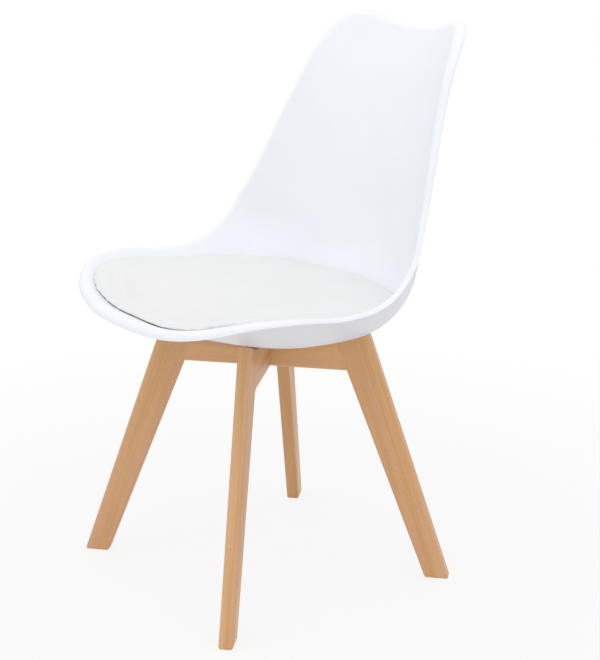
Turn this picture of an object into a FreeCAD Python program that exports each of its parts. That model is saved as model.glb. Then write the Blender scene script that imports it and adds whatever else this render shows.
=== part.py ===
import FreeCAD, Part
import Sketcher
import math
import os
from FreeCAD import Placement, Rotation, Vector

# A white moulded shell chair on a crossed beech frame, in millimetres.
# Two flat beech trestles cross at right angles under the seat. Everything is modelled about
# that crossing, with z = 0 at the wooden soles, and then placed about the middle of the chair.

doc = FreeCAD.newDocument("shell_chair")

# Driving dimensions
SIZES = [
    ("crossing_setback", 15.42),
    ("glide_stand", 1.0),
    ("board_thickness", 20),
    ("foot_outer", 287.3),
    ("foot_inner", 250.2),
    ("outer_rake", 0.344),
    ("inner_rake", 0.390),
    ("rail_bottom", 323.8),
    ("rail_top", 379),
    ("front_leg_top", 396),
    ("back_leg_top", 391),
    ("front_top_hollow", 170),
    ("back_top_hollow", 170),
    ("edge_round", 3.5),
    ("sole_round", 2.5),
    ("bolt_reach", 70),
    ("bolt_radius", 3),
    ("bolt_length", 55),
    ("bolt_hole_radius", 3.4),
    ("head_radius", 5),
    ("head_height", 6),
    ("bolt_chamfer", 0.6),
    ("socket_width", 5),
    ("socket_depth", 3),
    ("washer_radius", 6.2),
    ("washer_thickness", 1.6),
    ("spring_washer_radius", 5.8),
    ("spring_gap", 0.9),
    ("spring_slant", 25),
    ("counterbore_radius", 6.8),
    ("counterbore_depth", 22),
    ("dowel_radius", 4),
    ("dowel_length", 40),
    ("dowel_inset", 14),
    ("glide_radius", 7.5),
    ("glide_thickness", 2.6),
    ("glide_round", 0.8),
    ("nail_radius", 1),
    ("nail_length", 16),
    ("nail_head_radius", 2.5),
    ("nail_head_depth", 1.2),
    ("nail_point", 2),
    ("shell_thickness", 4.5),
    ("floor_top", 385.5),
    ("boss_radius", 11),
    ("boss_top", 397),
    ("pad_radius", 13),
    ("pad_drop", 2),
    ("insert_radius", 4.5),
    ("insert_flange_radius", 7),
    ("insert_flange", 1.2),
    ("insert_web", 1),
    ("rib_thickness", 2.5),
    ("rib_drop", 3),
    ("screw_spacing_across", 148),
    ("screw_spacing_along", 44),
    ("screw_pad_radius", 6),
    ("screw_pad_drop", 0.8),
    ("screw_boss_radius", 6),
    ("screw_radius", 2),
    ("screw_hole_radius", 2.3),
    ("screw_head_radius", 4.2),
    ("screw_head_height", 2.6),
    ("screw_head_round", 1.4),
    ("screw_length", 24),
    ("cushion_gap", 1),
    ("cover_thickness", 1.2),
    ("cushion_underside", 398.6),
    ("cushion_middle", 458),
    ("board_width", 236),
    ("board_depth", 200),
    ("board_corner", 66),
    ("cushion_board_thickness", 8),
    ("cushion_board_setback", 2),
    ("cover_turnunder", 20),
]
sizes = doc.addObject("Spreadsheet::Sheet", "sizes")
for row, (alias, value) in enumerate(SIZES, start=1):
    sizes.set("A%d" % row, alias)
    sizes.set("B%d" % row, str(value))
    sizes.setAlias("B%d" % row, alias)
doc.recompute()


def size(alias):
    """A driving dimension as a number."""
    return float(sizes.get(alias))


# Where the crossing of the trestles stands in the finished chair
CROSSING = Vector(0, -size("crossing_setback"), size("glide_stand"))
# The four arms of the crossed frame, as angles about the vertical from the +X direction
ARMS = {"front_left": -45, "back_left": 45, "back_right": 135, "front_right": -135}

NODES = []


def node(part, label, turn=0):
    """Name a finished piece and place it about the crossing, turned about the vertical."""
    part.Label = label
    part.Placement = Placement(CROSSING, Rotation(Vector(0, 0, 1), turn))
    NODES.append(part)


def plane_of(body, role):
    return next(feature for feature in body.Origin.OriginFeatures if feature.Role == role)


def pin_point(sketch, geometry, axis, expression):
    """Hold a corner at a distance from the sketch's origin, given as an expression."""
    if expression == "0":
        sketch.addConstraint(Sketcher.Constraint("PointOnObject", geometry, 1, -1 if axis == "Y" else -2))
        return
    value = sketch.evalExpression(expression)
    index = sketch.addConstraint(Sketcher.Constraint("Distance" + axis, -1, 1, geometry, 1, value))
    sketch.setExpression("Constraints[%d]" % index, expression)


def outline(body, name, role, corners):
    """Closed sketch. A corner is (x, y) or (x, y, radius, side), where the edge that leaves it
    is an arc of that radius whose centre lies to its left (side 1) or to its right (side -1)."""
    sketch = body.newObject("Sketcher::SketchObject", name)
    sketch.AttachmentSupport = [(plane_of(body, role), "")]
    sketch.MapMode = "FlatFace"
    points = [Vector(sketch.evalExpression(c[0]), sketch.evalExpression(c[1]), 0) for c in corners]
    count = len(corners)
    arcs = []
    for i, corner in enumerate(corners):
        start, end = points[i], points[(i + 1) % count]
        if len(corner) == 2:
            sketch.addGeometry(Part.LineSegment(start, end))
            continue
        radius = sketch.evalExpression(corner[2])
        chord = end - start
        left = Vector(-chord.y, chord.x, 0).normalize()
        sagitta = radius - math.sqrt(radius ** 2 - (chord.Length / 2) ** 2)
        middle = (start + end) / 2 - left * sagitta * corner[3]
        sketch.addGeometry(Part.Arc(start, middle, end))
        arcs.append((i, corner[2], corner[3]))
    ends = {}
    for i, expression, side in arcs:
        ends[i] = (1, 2) if side > 0 else (2, 1)
    for i in range(count):
        after = (i + 1) % count
        sketch.addConstraint(Sketcher.Constraint(
            "Coincident", i, ends.get(i, (1, 2))[1], after, ends.get(after, (1, 2))[0]))
    for i, corner in enumerate(corners):
        if i in ends:
            before = (i - 1) % count
            hold_end(sketch, before, ends.get(before, (1, 2))[1], corner)
        else:
            pin_point(sketch, i, "X", corner[0])
            pin_point(sketch, i, "Y", corner[1])
    for i, expression, side in arcs:
        index = sketch.addConstraint(Sketcher.Constraint("Radius", i, sketch.evalExpression(expression)))
        sketch.setExpression("Constraints[%d]" % index, expression)
    return sketch


def hold_end(sketch, geometry, end, corner):
    """Hold the corner where an arc begins, by the end of the edge before it."""
    for axis, expression in (("X", corner[0]), ("Y", corner[1])):
        value = sketch.evalExpression(expression)
        index = sketch.addConstraint(
            Sketcher.Constraint("Distance" + axis, -1, 1, geometry, end, value))
        sketch.setExpression("Constraints[%d]" % index, expression)


def pad(body, name, sketch, length, symmetric=False):
    feature = body.newObject("PartDesign::Pad", name)
    feature.Profile = sketch
    feature.setExpression("Length", length)
    if symmetric:
        feature.SideType = "Symmetric"
    doc.recompute()
    return feature


def fillet(body, name, base, radius, chosen):
    """Round the edges of base for which chosen(edge) is true."""
    names = ["Edge%d" % (i + 1) for i, edge in enumerate(base.Shape.Edges) if chosen(edge)]
    feature = body.newObject("PartDesign::Fillet", name)
    feature.Base = (base, names)
    feature.setExpression("Radius", radius)
    doc.recompute()
    return feature


def cylinder(name, radius, height, base=Vector(), direction=Vector(0, 0, 1)):
    feature = doc.addObject("Part::Cylinder", name)
    feature.setExpression("Radius", radius)
    feature.setExpression("Height", height)
    feature.Placement = Placement(base, Rotation(Vector(0, 0, 1), direction))
    return feature


def union(name, parts):
    feature = doc.addObject("Part::MultiFuse", name)
    feature.Shapes = parts
    return feature


def cut(name, base, tool):
    feature = doc.addObject("Part::Cut", name)
    feature.Base = base
    feature.Tool = tool
    return feature


def group(label, prototype, placements):
    """Several like pieces as one node of separate solids."""
    doc.recompute()
    copies = []
    for placement in placements:
        piece = prototype.Shape.copy()
        piece.Placement = placement.multiply(piece.Placement)
        copies.append(piece)
    feature = doc.addObject("Part::Feature", label)
    feature.Shape = Part.makeCompound(copies)
    node(feature, label)


def on_arms(reach, height):
    """Placements at one reach along each arm of the crossed frame."""
    return [Placement(Vector(reach * math.cos(math.radians(a)), reach * math.sin(math.radians(a)), height),
                      Rotation(Vector(0, 0, 1), a)) for a in ARMS.values()]


# Beech trestles

# Outer and inner edges of a leg as reach from the crossing, at any height
OUTER = "sizes.foot_outer - sizes.outer_rake * "
INNER = "sizes.foot_inner - sizes.inner_rake * "
DOWEL_HEIGHTS = [size("rail_bottom") + size("dowel_inset"), size("rail_top") - size("dowel_inset")]
JOINT_LEAN = math.atan(size("inner_rake"))


def dowel_axes():
    """Start and direction of each dowel, square to the slanted joint between rail and leg."""
    direction = Vector(math.cos(JOINT_LEAN), 0, math.sin(JOINT_LEAN))
    for height in DOWEL_HEIGHTS:
        reach = size("foot_inner") - size("inner_rake") * height
        yield Vector(reach, 0, height) - direction * (size("dowel_length") / 2), direction


def dowel_drillings(name):
    return [cylinder("%s_%d" % (name, i), "sizes.dowel_radius", "sizes.dowel_length", base, direction)
            for i, (base, direction) in enumerate(dowel_axes())]


def along_grain(edge):
    """True for the long edges of a leg, which climb from the sole."""
    if len(edge.Vertexes) < 2:
        return False
    start, end = (v.Point for v in (edge.Vertexes[0], edge.Vertexes[-1]))
    return abs(end.z - start.z) > 5 * abs(end.y - start.y) and abs(end.x - start.x) > 5


def leg(label, turn, top, hollow):
    lower = doc.addObject("PartDesign::Body", label + "_lower")
    sketch = outline(lower, label + "_lower_outline", "XZ_Plane", [
        ("sizes.foot_inner", "0"),
        ("sizes.foot_outer", "0"),
        (OUTER + "sizes.rail_bottom", "sizes.rail_bottom"),
        (INNER + "sizes.rail_bottom", "sizes.rail_bottom"),
    ])
    board = pad(lower, label + "_lower_board", sketch, "sizes.board_thickness", symmetric=True)
    rounded = fillet(lower, label + "_lower_rounding", board, "sizes.edge_round", along_grain)
    fillet(lower, label + "_sole_rounding", rounded, "sizes.sole_round",
           lambda edge: edge.BoundBox.ZMax < 0.01)

    upper = doc.addObject("PartDesign::Body", label + "_upper")
    sketch = outline(upper, label + "_upper_outline", "XZ_Plane", [
        (INNER + "sizes.rail_bottom", "sizes.rail_bottom"),
        (OUTER + "sizes.rail_bottom", "sizes.rail_bottom"),
        (OUTER + "sizes." + top, "sizes." + top, "sizes." + hollow, -1),
        (INNER + "(sizes.rail_top + 1)", "sizes.rail_top + 1"),
    ])
    board = pad(upper, label + "_upper_board", sketch, "sizes.board_thickness", symmetric=True)
    middle = size("foot_outer") - size("outer_rake") * size("rail_top") - 12
    fillet(upper, label + "_upper_rounding", board, "sizes.edge_round",
           lambda edge: along_grain(edge) and edge.CenterOfMass.x > middle)

    whole = union(label + "_whole", [lower, upper])
    whole.Refine = True
    recess = cylinder(label + "_glide_recess", "sizes.glide_radius",
                      "sizes.glide_thickness - sizes.glide_stand", sole_centre())
    nail_hole = cylinder(label + "_nail_hole", "sizes.nail_radius", "sizes.nail_length", sole_centre())
    tools = union(label + "_drillings", dowel_drillings(label + "_dowel_hole") + [recess, nail_hole])
    node(cut(label, whole, tools), label, turn)


def sole_centre():
    return Vector((size("foot_outer") + size("foot_inner")) / 2, 0, 0)


def lap_slot(name, from_height, to_height):
    """Box that notches one rail where the other passes through it."""
    slot = doc.addObject("Part::Box", name)
    for dimension in ("Length", "Width"):
        slot.setExpression(dimension, "sizes.board_thickness")
    slot.setExpression("Height", "%s - (%s)" % (to_height, from_height))
    half = size("board_thickness") / 2
    slot.Placement.Base = Vector(-half, -half, slot.evalExpression(from_height))
    return slot


def rail(label, turn, slot_from, slot_to):
    body = doc.addObject("PartDesign::Body", label + "_body")
    sketch = outline(body, label + "_outline", "XZ_Plane", [
        ("-(" + INNER + "sizes.rail_bottom)", "sizes.rail_bottom"),
        (INNER + "sizes.rail_bottom", "sizes.rail_bottom"),
        (INNER + "sizes.rail_top", "sizes.rail_top"),
        ("-(" + INNER + "sizes.rail_top)", "sizes.rail_top"),
    ])
    board = pad(body, label + "_board", sketch, "sizes.board_thickness", symmetric=True)
    fillet(body, label + "_rounding", board, "sizes.edge_round",
           lambda edge: edge.BoundBox.ZMax < size("rail_bottom") + 0.01 and edge.BoundBox.YLength < 0.01)

    tools = [lap_slot(label + "_lap", slot_from, slot_to)]
    for side in (1, -1):
        base = Vector(side * size("bolt_reach"), 0, size("rail_bottom"))
        tools.append(cylinder("%s_bolt_hole" % label, "sizes.bolt_hole_radius",
                              "sizes.rail_top - sizes.rail_bottom", base))
        tools.append(cylinder("%s_counterbore" % label, "sizes.counterbore_radius",
                              "sizes.counterbore_depth", base))
        for drilling in dowel_drillings(label + "_dowel_hole"):
            if side < 0:
                drilling.Placement = Placement(Vector(), Rotation(Vector(0, 0, 1), 180)).multiply(
                    drilling.Placement)
            tools.append(drilling)
    node(cut(label, body, union(label + "_drillings", tools)), label, turn)


def beech_frame():
    for name, turn in ARMS.items():
        front = name.startswith("front")
        leg(name + "_leg", turn, "front_leg_top" if front else "back_leg_top",
            "front_top_hollow" if front else "back_top_hollow")
    lap = "(sizes.rail_top + sizes.rail_bottom) / 2"
    rail("upper_cross_rail", 45, "sizes.rail_bottom", lap)
    rail("lower_cross_rail", 135, lap, "sizes.rail_top")


def dowels():
    for name, turn in ARMS.items():
        label = name + "_dowels"
        pins = []
        for i, (base, direction) in enumerate(dowel_axes()):
            pins.append(cylinder("%s_%d" % (label, i), "sizes.dowel_radius", "sizes.dowel_length",
                                 base, direction))
        pair = doc.addObject("Part::Compound", label)
        pair.Links = pins
        node(pair, label, turn)


# Fasteners and glides

BOLT_SEAT = size("rail_bottom") + size("counterbore_depth")


def socket_bolt():
    """Socket head bolt, head down, with the shank's top at its own length above the head."""
    shank = cylinder("bolt_shank", "sizes.bolt_radius", "sizes.bolt_length")
    head = cylinder("bolt_head", "sizes.head_radius", "sizes.head_height",
                    Vector(0, 0, -size("head_height")))
    whole = union("bolt_blank", [shank, head])
    doc.recompute()
    soft = doc.addObject("Part::Chamfer", "bolt_chamfered")
    soft.Base = whole
    rims = [i + 1 for i, e in enumerate(whole.Shape.Edges)
            if e.Closed and (abs(e.CenterOfMass.z - size("bolt_length")) < 0.01
                             or abs(e.CenterOfMass.z + size("head_height")) < 0.01)]
    soft.Edges = [(i, size("bolt_chamfer"), size("bolt_chamfer")) for i in rims]
    socket = doc.addObject("Part::Prism", "bolt_socket")
    socket.Polygon = 6
    socket.setExpression("Circumradius", "sizes.socket_width / sqrt(3)")
    socket.setExpression("Height", "sizes.socket_depth")
    socket.Placement.Base = Vector(0, 0, -size("head_height"))
    return cut("bolt", soft, socket)


def ring(name, outer, inner, height):
    return cut(name, cylinder(name + "_disc", outer, height), cylinder(name + "_hole", inner, height))


def spring_ring():
    """Spring lock washer: a ring sawn through on the slant."""
    blank = ring("spring_washer_ring", "sizes.spring_washer_radius", "sizes.bolt_radius + 0.15",
                 "sizes.washer_thickness")
    saw = doc.addObject("Part::Box", "spring_washer_saw")
    saw.setExpression("Length", "sizes.washer_radius + 2")
    saw.setExpression("Width", "sizes.spring_gap")
    saw.setExpression("Height", "4 * sizes.washer_thickness")
    saw.Placement = Placement(Vector(0, -size("spring_gap") / 2, -size("washer_thickness")),
                              Rotation(Vector(1, 0, 0), size("spring_slant")))
    return cut("spring_washer", blank, saw)


def frame_fasteners():
    reach, washer = size("bolt_reach"), size("washer_thickness")
    group("flat_washers", ring("flat_washer", "sizes.washer_radius", "sizes.bolt_radius + 0.2",
                               "sizes.washer_thickness"), on_arms(reach, BOLT_SEAT - washer))
    group("spring_washers", spring_ring(), on_arms(reach, BOLT_SEAT - 2 * washer))
    group("frame_bolts", socket_bolt(), on_arms(reach, BOLT_SEAT - 2 * washer))


def glides():
    """Domed nylon discs let into the soles, each held by a flat-headed nail."""
    reach, stand = sole_centre().x, size("glide_stand")
    head_radius, head_depth = size("nail_head_radius"), size("nail_head_depth")
    point_length = size("nail_point")
    disc = cylinder("glide_disc", "sizes.glide_radius", "sizes.glide_thickness",
                    Vector(0, 0, -stand))
    doc.recompute()
    dome = doc.addObject("Part::Fillet", "glide_dome")
    dome.Base = disc
    dome.Edges = [(i + 1, size("glide_round"), size("glide_round")) for i, e in enumerate(disc.Shape.Edges)
                  if e.Closed and e.CenterOfMass.z < -stand + 0.01]
    sink = doc.addObject("Part::Cone", "glide_countersink")
    sink.Radius1, sink.Radius2, sink.Height = head_radius, size("nail_radius"), head_depth
    sink.Placement.Base = Vector(0, 0, -stand)
    bore = cylinder("glide_bore", "sizes.nail_radius", "sizes.glide_thickness", Vector(0, 0, -stand))
    group("foot_glides", cut("glide", dome, union("glide_tools", [sink, bore])), on_arms(reach, 0))

    shank = cylinder("nail_shank", "sizes.nail_radius", "sizes.nail_length - sizes.nail_point",
                     Vector(0, 0, head_depth - stand))
    head = doc.addObject("Part::Cone", "nail_head")
    head.Radius1, head.Radius2, head.Height = head_radius, size("nail_radius"), head_depth
    point = doc.addObject("Part::Cone", "nail_point")
    point.Radius1, point.Radius2, point.Height = size("nail_radius"), 0.1, point_length
    head.Placement.Base = Vector(0, 0, -stand)
    point.Placement.Base = Vector(0, 0, head_depth - stand + size("nail_length") - point_length)
    group("glide_nails", union("nail", [shank, head, point]), on_arms(reach, 0))


# Moulded shell

# The inner surface hangs between a spine, in the middle plane, and two raised side walls.
# Its points are named by (across, along): the distance from the middle plane, and the length
# along the spine from beyond the front lip. The spine runs down from the lip, along the flat
# floor, round the hollow of the back and up to the top edge.
SPINE = [(-262, 451), (-240, 441.3), (-215, 430.5), (-180, 418.4), (-145, 407), (-110, 397),
         (-75, 389.5), (-40, 385.5), (0, 385.5), (40, 385.5), (70, 386.5), (100, 393),
         (134, 405), (163, 423), (188.5, 458), (200, 504), (208, 560), (215.5, 612),
         (229.5, 680), (247.5, 748), (271, 807), (285, 838)]
# Each station along the spine gives the rise of the wall at WALL_REACH from the flat strip,
# the lean of that rise from the vertical in degrees, the half width of the flat strip and the
# exponent of the wall's curve, which is high for a flat floor and 2 for a plain hollow back.
WALL_REACH = 216
STATIONS = [
    (0, 69, 0, 20, 2.5), (60, 70, 0, 20, 2.4), (120, 74, 0, 20, 2.35), (180, 79, 0, 20, 2.8),
    (250, 81, 0, 20, 3.5), (300, 88, 0, 20, 4), (330, 102.5, 3, 20, 4.1), (360, 120, 9, 20, 4.1),
    (390, 131.5, 17.5, 19, 3.85), (420, 136, 27, 17, 3.35), (450, 133.5, 37.5, 14.5, 2.8),
    (480, 127, 47.5, 11, 2.4), (510, 116.5, 57, 7, 2.15), (540, 107.5, 65.5, 4, 2.05),
    (570, 102, 72, 1.5, 2.05), (610, 98, 76.5, 0, 2.05), (650, 97.5, 77.5, 0, 2.05),
    (700, 101, 76, 0, 2.1), (763, 106, 75, 0, 2.15), (820, 110, 74, 0, 2.2), (900, 112, 72, 0, 2.3),
]
# Right half of the edge where the rolled rim begins, from the front lip round to the dip
# between the two shoulders of the backrest
RIM = [(0, 24), (60, 31), (107, 43), (148, 56), (180, 75), (208, 106), (222, 140), (228, 175),
       (228, 240), (228, 310), (226, 355), (223, 400), (220, 450), (216, 500), (207, 559),
       (194, 620), (179, 678), (164, 731), (150, 786), (141, 813), (128, 837), (106, 850),
       (60, 846), (0, 843)]
# Radius of the rolled rim at stations along the spine
RIM_ROLL = [(0, 13), (60, 12), (140, 9), (250, 8), (400, 7), (520, 7), (650, 8), (760, 10), (840, 12)]
# Right half of the cushion's edge
CUSHION_EDGE = [(0, 56), (73, 61), (117, 66), (145, 74), (168, 87), (186, 106), (200, 132),
                (210, 168), (214, 215), (213, 266), (208, 305), (195, 347), (172, 392),
                (141, 424), (106, 440), (60, 450), (0, 455)]
# The cushion's brim rolls over through steps of (share of its reach, rise), then swells to a crown
CUSHION_CENTRE = -30
BRIM_ROLL = ((0.999, 4), (0.988, 7.5), (0.965, 10))
CROWN_SHARES = (0.92, 0.8, 0.65, 0.5, 0.35, 0.2, 0.1)
# How the cushion's height falls from its crown to its brim with the share of its reach
CROWN_FALL = 2.5
# Angles round the rolled rim, and how many points the surfaces pass through
ROLL_ANGLES = (27, 55, 82, 110)
AROUND, COLUMNS, ROWS = 160, 20, 36
# The bowl surfaces run this far past the walls, and end this far short of the spine's top
BOWL_SPARE, SPINE_SPARE = 16, 20
SEWING_GAP = 0.1


def law(stations, place):
    """Smooth value between stations (place, value), without overshoot."""
    if place <= stations[0][0]:
        return stations[0][1]
    if place >= stations[-1][0]:
        return stations[-1][1]
    slopes = [(b[1] - a[1]) / (b[0] - a[0]) for a, b in zip(stations, stations[1:])]
    k = next(i for i in range(len(slopes)) if place <= stations[i + 1][0])

    def tangent(i):
        if i == 0 or i == len(slopes) or slopes[i - 1] * slopes[i] <= 0:
            return 0
        return 2 * slopes[i - 1] * slopes[i] / (slopes[i - 1] + slopes[i])

    (a, low), (b, high) = stations[k], stations[k + 1]
    t = (place - a) / (b - a)
    return (low * (1 + 2 * t) * (1 - t) ** 2 + high * t * t * (3 - 2 * t)
            + (b - a) * (tangent(k) * t * (1 - t) ** 2 - tangent(k + 1) * t * t * (1 - t)))


def spline(points, places, closed=False):
    """Curve through points at given parameters; a closed one has a parameter more than points."""
    curve = Part.BSplineCurve()
    curve.interpolate(Points=points, Parameters=places, PeriodicFlag=closed)
    return curve


def spine_curve():
    points = [Vector(0, y, z) for y, z in SPINE]
    lengths = [0]
    for a, b in zip(points, points[1:]):
        lengths.append(lengths[-1] + (b - a).Length)
    return spline(points, lengths)


SPINE_CURVE = spine_curve()
# Two curves that carry the stations' values as their coordinates
PLACES = [station[0] for station in STATIONS]
WALL_CURVE = spline([Vector(wall, lean, curve) for _, wall, lean, _, curve in STATIONS], PLACES)
FLAT_CURVE = spline([Vector(flat, along, 0) for along, _, _, flat, _ in STATIONS], PLACES)


def inner_point(across, along):
    """Point of the shell's inner surface."""
    foot = SPINE_CURVE.value(min(max(along, 0), SPINE_CURVE.LastParameter))
    place = min(max(along, PLACES[0]), PLACES[-1])
    wall, lean, curve = WALL_CURVE.value(place)
    reach = max(abs(across) - max(FLAT_CURVE.value(place).x, 0), 0) / WALL_REACH
    rise = wall * reach ** curve
    return Vector(across, foot.y - rise * math.sin(math.radians(lean)),
                  foot.z + rise * math.cos(math.radians(lean)))


def inner_normal(across, along):
    """Unit normal of the inner surface, towards the sitter."""
    step = 0.5
    sideways = inner_point(across + step, along) - inner_point(across - step, along)
    onwards = inner_point(across, along + step) - inner_point(across, along - step)
    return sideways.cross(onwards).normalize()


def around(half, count=AROUND):
    """Evenly spaced (across, along) places round the closed edge whose right half is given."""
    whole = half + [(-x, v) for x, v in reversed(half[1:-1])]
    edge = Part.BSplineCurve()
    edge.interpolate(Points=[Vector(x, v, 0) for x, v in whole], PeriodicFlag=True)
    step = edge.length() / count
    places = [edge.value(edge.parameterAtDistance(i * step, edge.FirstParameter)) for i in range(count)]
    return [(p.x, p.y) for p in places]


def through(rows, u_places=None, v_places=None, closed=False):
    """Smooth surface through rows of points, with each row closed into a ring or open."""
    count = len(rows[0]) + (1 if closed else 0)
    u_places = u_places or [i / (len(rows) - 1) for i in range(len(rows))]
    v_places = v_places or [i / (count - 1) for i in range(count)]
    along = [spline(row, v_places, closed) for row in rows]
    across = [spline(list(poles), u_places) for poles in zip(*(curve.getPoles() for curve in along))]
    surface = Part.BSplineSurface()
    surface.buildFromPolesMultsKnots(
        [list(row) for row in zip(*(curve.getPoles() for curve in across))],
        across[0].getMultiplicities(), along[0].getMultiplicities(),
        across[0].getKnots(), along[0].getKnots(), False, closed, across[0].Degree, along[0].Degree)
    return surface


def behind(place, depth):
    """Point at a depth behind the inner surface, or in front of it for a negative depth."""
    return inner_point(*place) - inner_normal(*place) * depth


def bowl(depth):
    """Surface at a depth behind the inner one, with (along, across) as its own parameters."""
    reach, top = WALL_REACH + BOWL_SPARE, SPINE_CURVE.LastParameter - SPINE_SPARE
    columns = [reach * (2 * i / COLUMNS - 1) for i in range(COLUMNS + 1)]
    rows = [top * i / ROWS for i in range(ROWS + 1)]
    return through([[behind((x, v), depth) for x in columns] for v in rows], rows, columns)


def ring_edge(points):
    return spline(points, [i / len(points) for i in range(len(points) + 1)], closed=True).toShape()


def inside(surface, points):
    """The part of a bowl surface inside a ring of points that lie on it."""
    face = Part.Face(surface, Part.Wire([ring_edge(points)]))
    face.validate()
    return face


def closed_solid(faces):
    shell = Part.makeShell(faces)
    shell.sewShape(SEWING_GAP)
    solid = Part.makeSolid(shell)
    if solid.Volume < 0:
        solid.reverse()
    return solid


def roll(edge, points, angle, wall):
    """Ring round the rolled rim at an angle from the edge, in by the wall's thickness or not."""
    turn = math.radians(angle)
    ring = []
    for i, place in enumerate(edge):
        radius, normal = law(RIM_ROLL, place[1]), inner_normal(*place)
        outward = (points[(i + 1) % len(edge)] - points[i - 1]).cross(normal).normalize()
        ring.append(points[i] - normal * radius
                    + (normal * math.cos(turn) + outward * math.sin(turn)) * (radius - wall))
    return ring


def shell_skin():
    """The moulded sheet: inner face, rolled rim, and outer face one thickness behind."""
    thickness = size("shell_thickness")
    edge = around(RIM)
    front, back = bowl(0), bowl(thickness)
    points = [front.value(v, x) for x, v in edge]
    over = [points] + [roll(edge, points, angle, 0) for angle in ROLL_ANGLES]
    under = [[back.value(v, x) for x, v in edge]]
    under += [roll(edge, points, angle, thickness) for angle in ROLL_ANGLES]
    bands = [through(rings, closed=True).toShape() for rings in (over, [over[-1], under[-1]], under)]
    return closed_solid([inside(front, over[0]), inside(back, under[0])] + bands)


def upright(radius, low, high, x, y):
    return Part.makeCylinder(radius, high - low, Vector(x, y, low))


def seat_shell():
    core = size("floor_top") - size("shell_thickness") / 2
    underside = size("floor_top") - size("shell_thickness")
    bearing = underside - size("pad_drop")
    boss_top, board_rest = size("boss_top"), size("cushion_underside") + size("cover_thickness")
    added, removed = [], []
    seats = [(placement.Base.x, placement.Base.y) for placement in on_arms(size("bolt_reach"), 0)]
    for x, y in seats:
        added.append(upright(size("boss_radius"), core, boss_top, x, y))
        added.append(upright(size("pad_radius"), bearing, core, x, y))
        removed.append(upright(size("insert_radius"), underside + size("insert_web"), boss_top, x, y))
        removed.append(upright(size("bolt_hole_radius"), bearing, boss_top, x, y))
    rib, rib_height = size("rib_thickness"), boss_top - size("rib_drop") - core
    span = abs(seats[0][0])
    for side in (1, -1):
        added.append(Part.makeBox(2 * span, rib, rib_height, Vector(-span, side * span - rib / 2, core)))
        added.append(Part.makeBox(rib, 2 * span, rib_height, Vector(side * span - rib / 2, -span, core)))
    for x, y in screw_places():
        added.append(upright(size("screw_boss_radius"), core, board_rest, x, y))
        added.append(upright(size("screw_pad_radius"), screw_bearing(), core, x, y))
        removed.append(upright(size("screw_hole_radius"), screw_bearing(), board_rest, x, y))
    solid = shell_skin().fuse(added).cut(Part.makeCompound(removed))
    feature = doc.addObject("Part::Feature", "seat_shell")
    feature.Shape = solid.Solids[0] if len(solid.Solids) == 1 else solid
    node(feature, "seat_shell")


def screw_places():
    across, along = size("screw_spacing_across") / 2, size("screw_spacing_along") / 2
    return [(sx * across, sy * along) for sx in (1, -1) for sy in (1, -1)]


def screw_bearing():
    """Height of the flat pads under the shell that the cushion screws' heads bear on."""
    return size("floor_top") - size("shell_thickness") - size("screw_pad_drop")


def shell_inserts():
    """Flanged brass inserts pressed down into the shell's bosses."""
    low = size("floor_top") - size("shell_thickness") + size("insert_web")
    top = size("boss_top")
    barrel = cylinder("insert_barrel", "sizes.insert_radius", "%g" % (top - low), Vector(0, 0, low - top))
    flange = cylinder("insert_flange", "sizes.insert_flange_radius", "sizes.insert_flange")
    bore = cylinder("insert_bore", "sizes.bolt_radius", "%g" % (top - low + size("insert_flange")),
                    Vector(0, 0, low - top))
    insert = cut("insert", union("insert_blank", [barrel, flange]), bore)
    group("threaded_inserts", insert, on_arms(size("bolt_reach"), top))


# Seat cushion

def cushion_solid(shrink):
    """Cushion that fills the bowl up to a crown, cut flat underneath and drawn in by shrink."""
    depth = -size("cushion_gap") - shrink
    underside, edge = bowl(depth), around(CUSHION_EDGE)
    brim = [underside.value(v, x) for x, v in edge]
    middle = size("cushion_middle") - shrink
    rings = [brim]
    for share, rise in BRIM_ROLL:
        rings.append([drawn_in(p, share, p.z + rise - shrink) for p in brim])
    brim_top = BRIM_ROLL[-1][1] + 1 - shrink
    for share in CROWN_SHARES:
        blend = share ** CROWN_FALL
        rings.append([drawn_in(p, share, (p.z + brim_top) * blend + middle * (1 - blend)) for p in brim])
    rings[-1] = [Vector(p.x, p.y, middle) for p in rings[-1]]
    cap = Part.Face(Part.Wire([ring_edge(rings[-1])]))
    blank = closed_solid([inside(underside, brim), through(rings, closed=True).toShape(), cap])
    below = 3 * WALL_REACH
    return blank.cut(Part.makeBox(below, below, below, Vector(
        -below / 2, -below / 2, size("cushion_underside") + shrink - below)))


def drawn_in(p, share, height):
    """A brim point drawn in towards the middle of the cushion, at a new height."""
    return Vector(p.x * share, CUSHION_CENTRE + (p.y - CUSHION_CENTRE) * share, height)


def rounded_slab(name, width, depth, corner, low, thickness, centre_y):
    """Plate with rounded corners, as a body with a sketch of four lines and four arcs."""
    body = doc.addObject("PartDesign::Body", name + "_body")
    half_w, half_d = "(%s) / 2" % width, "(%s) / 2" % depth
    inner_w, inner_d = "(%s - (%s))" % (half_w, corner), "(%s - (%s))" % (half_d, corner)
    corners = []
    for sx, sy, turn in ((1, 1, 0), (-1, 1, 1), (-1, -1, 0), (1, -1, 1)):
        side = ("%d * %s" % (sx, half_w), "%d * %s" % (sy, inner_d))
        end = ("%d * %s" % (sx, inner_w), "%d * %s" % (sy, half_d))
        first, second = (end, side) if turn else (side, end)
        corners += [first + (corner, 1), second]
    sketch = outline(body, name + "_outline", "XY_Plane", corners)
    pad(body, name + "_plate", sketch, thickness)
    body.Placement.Base = Vector(0, centre_y, low)
    return body


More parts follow.
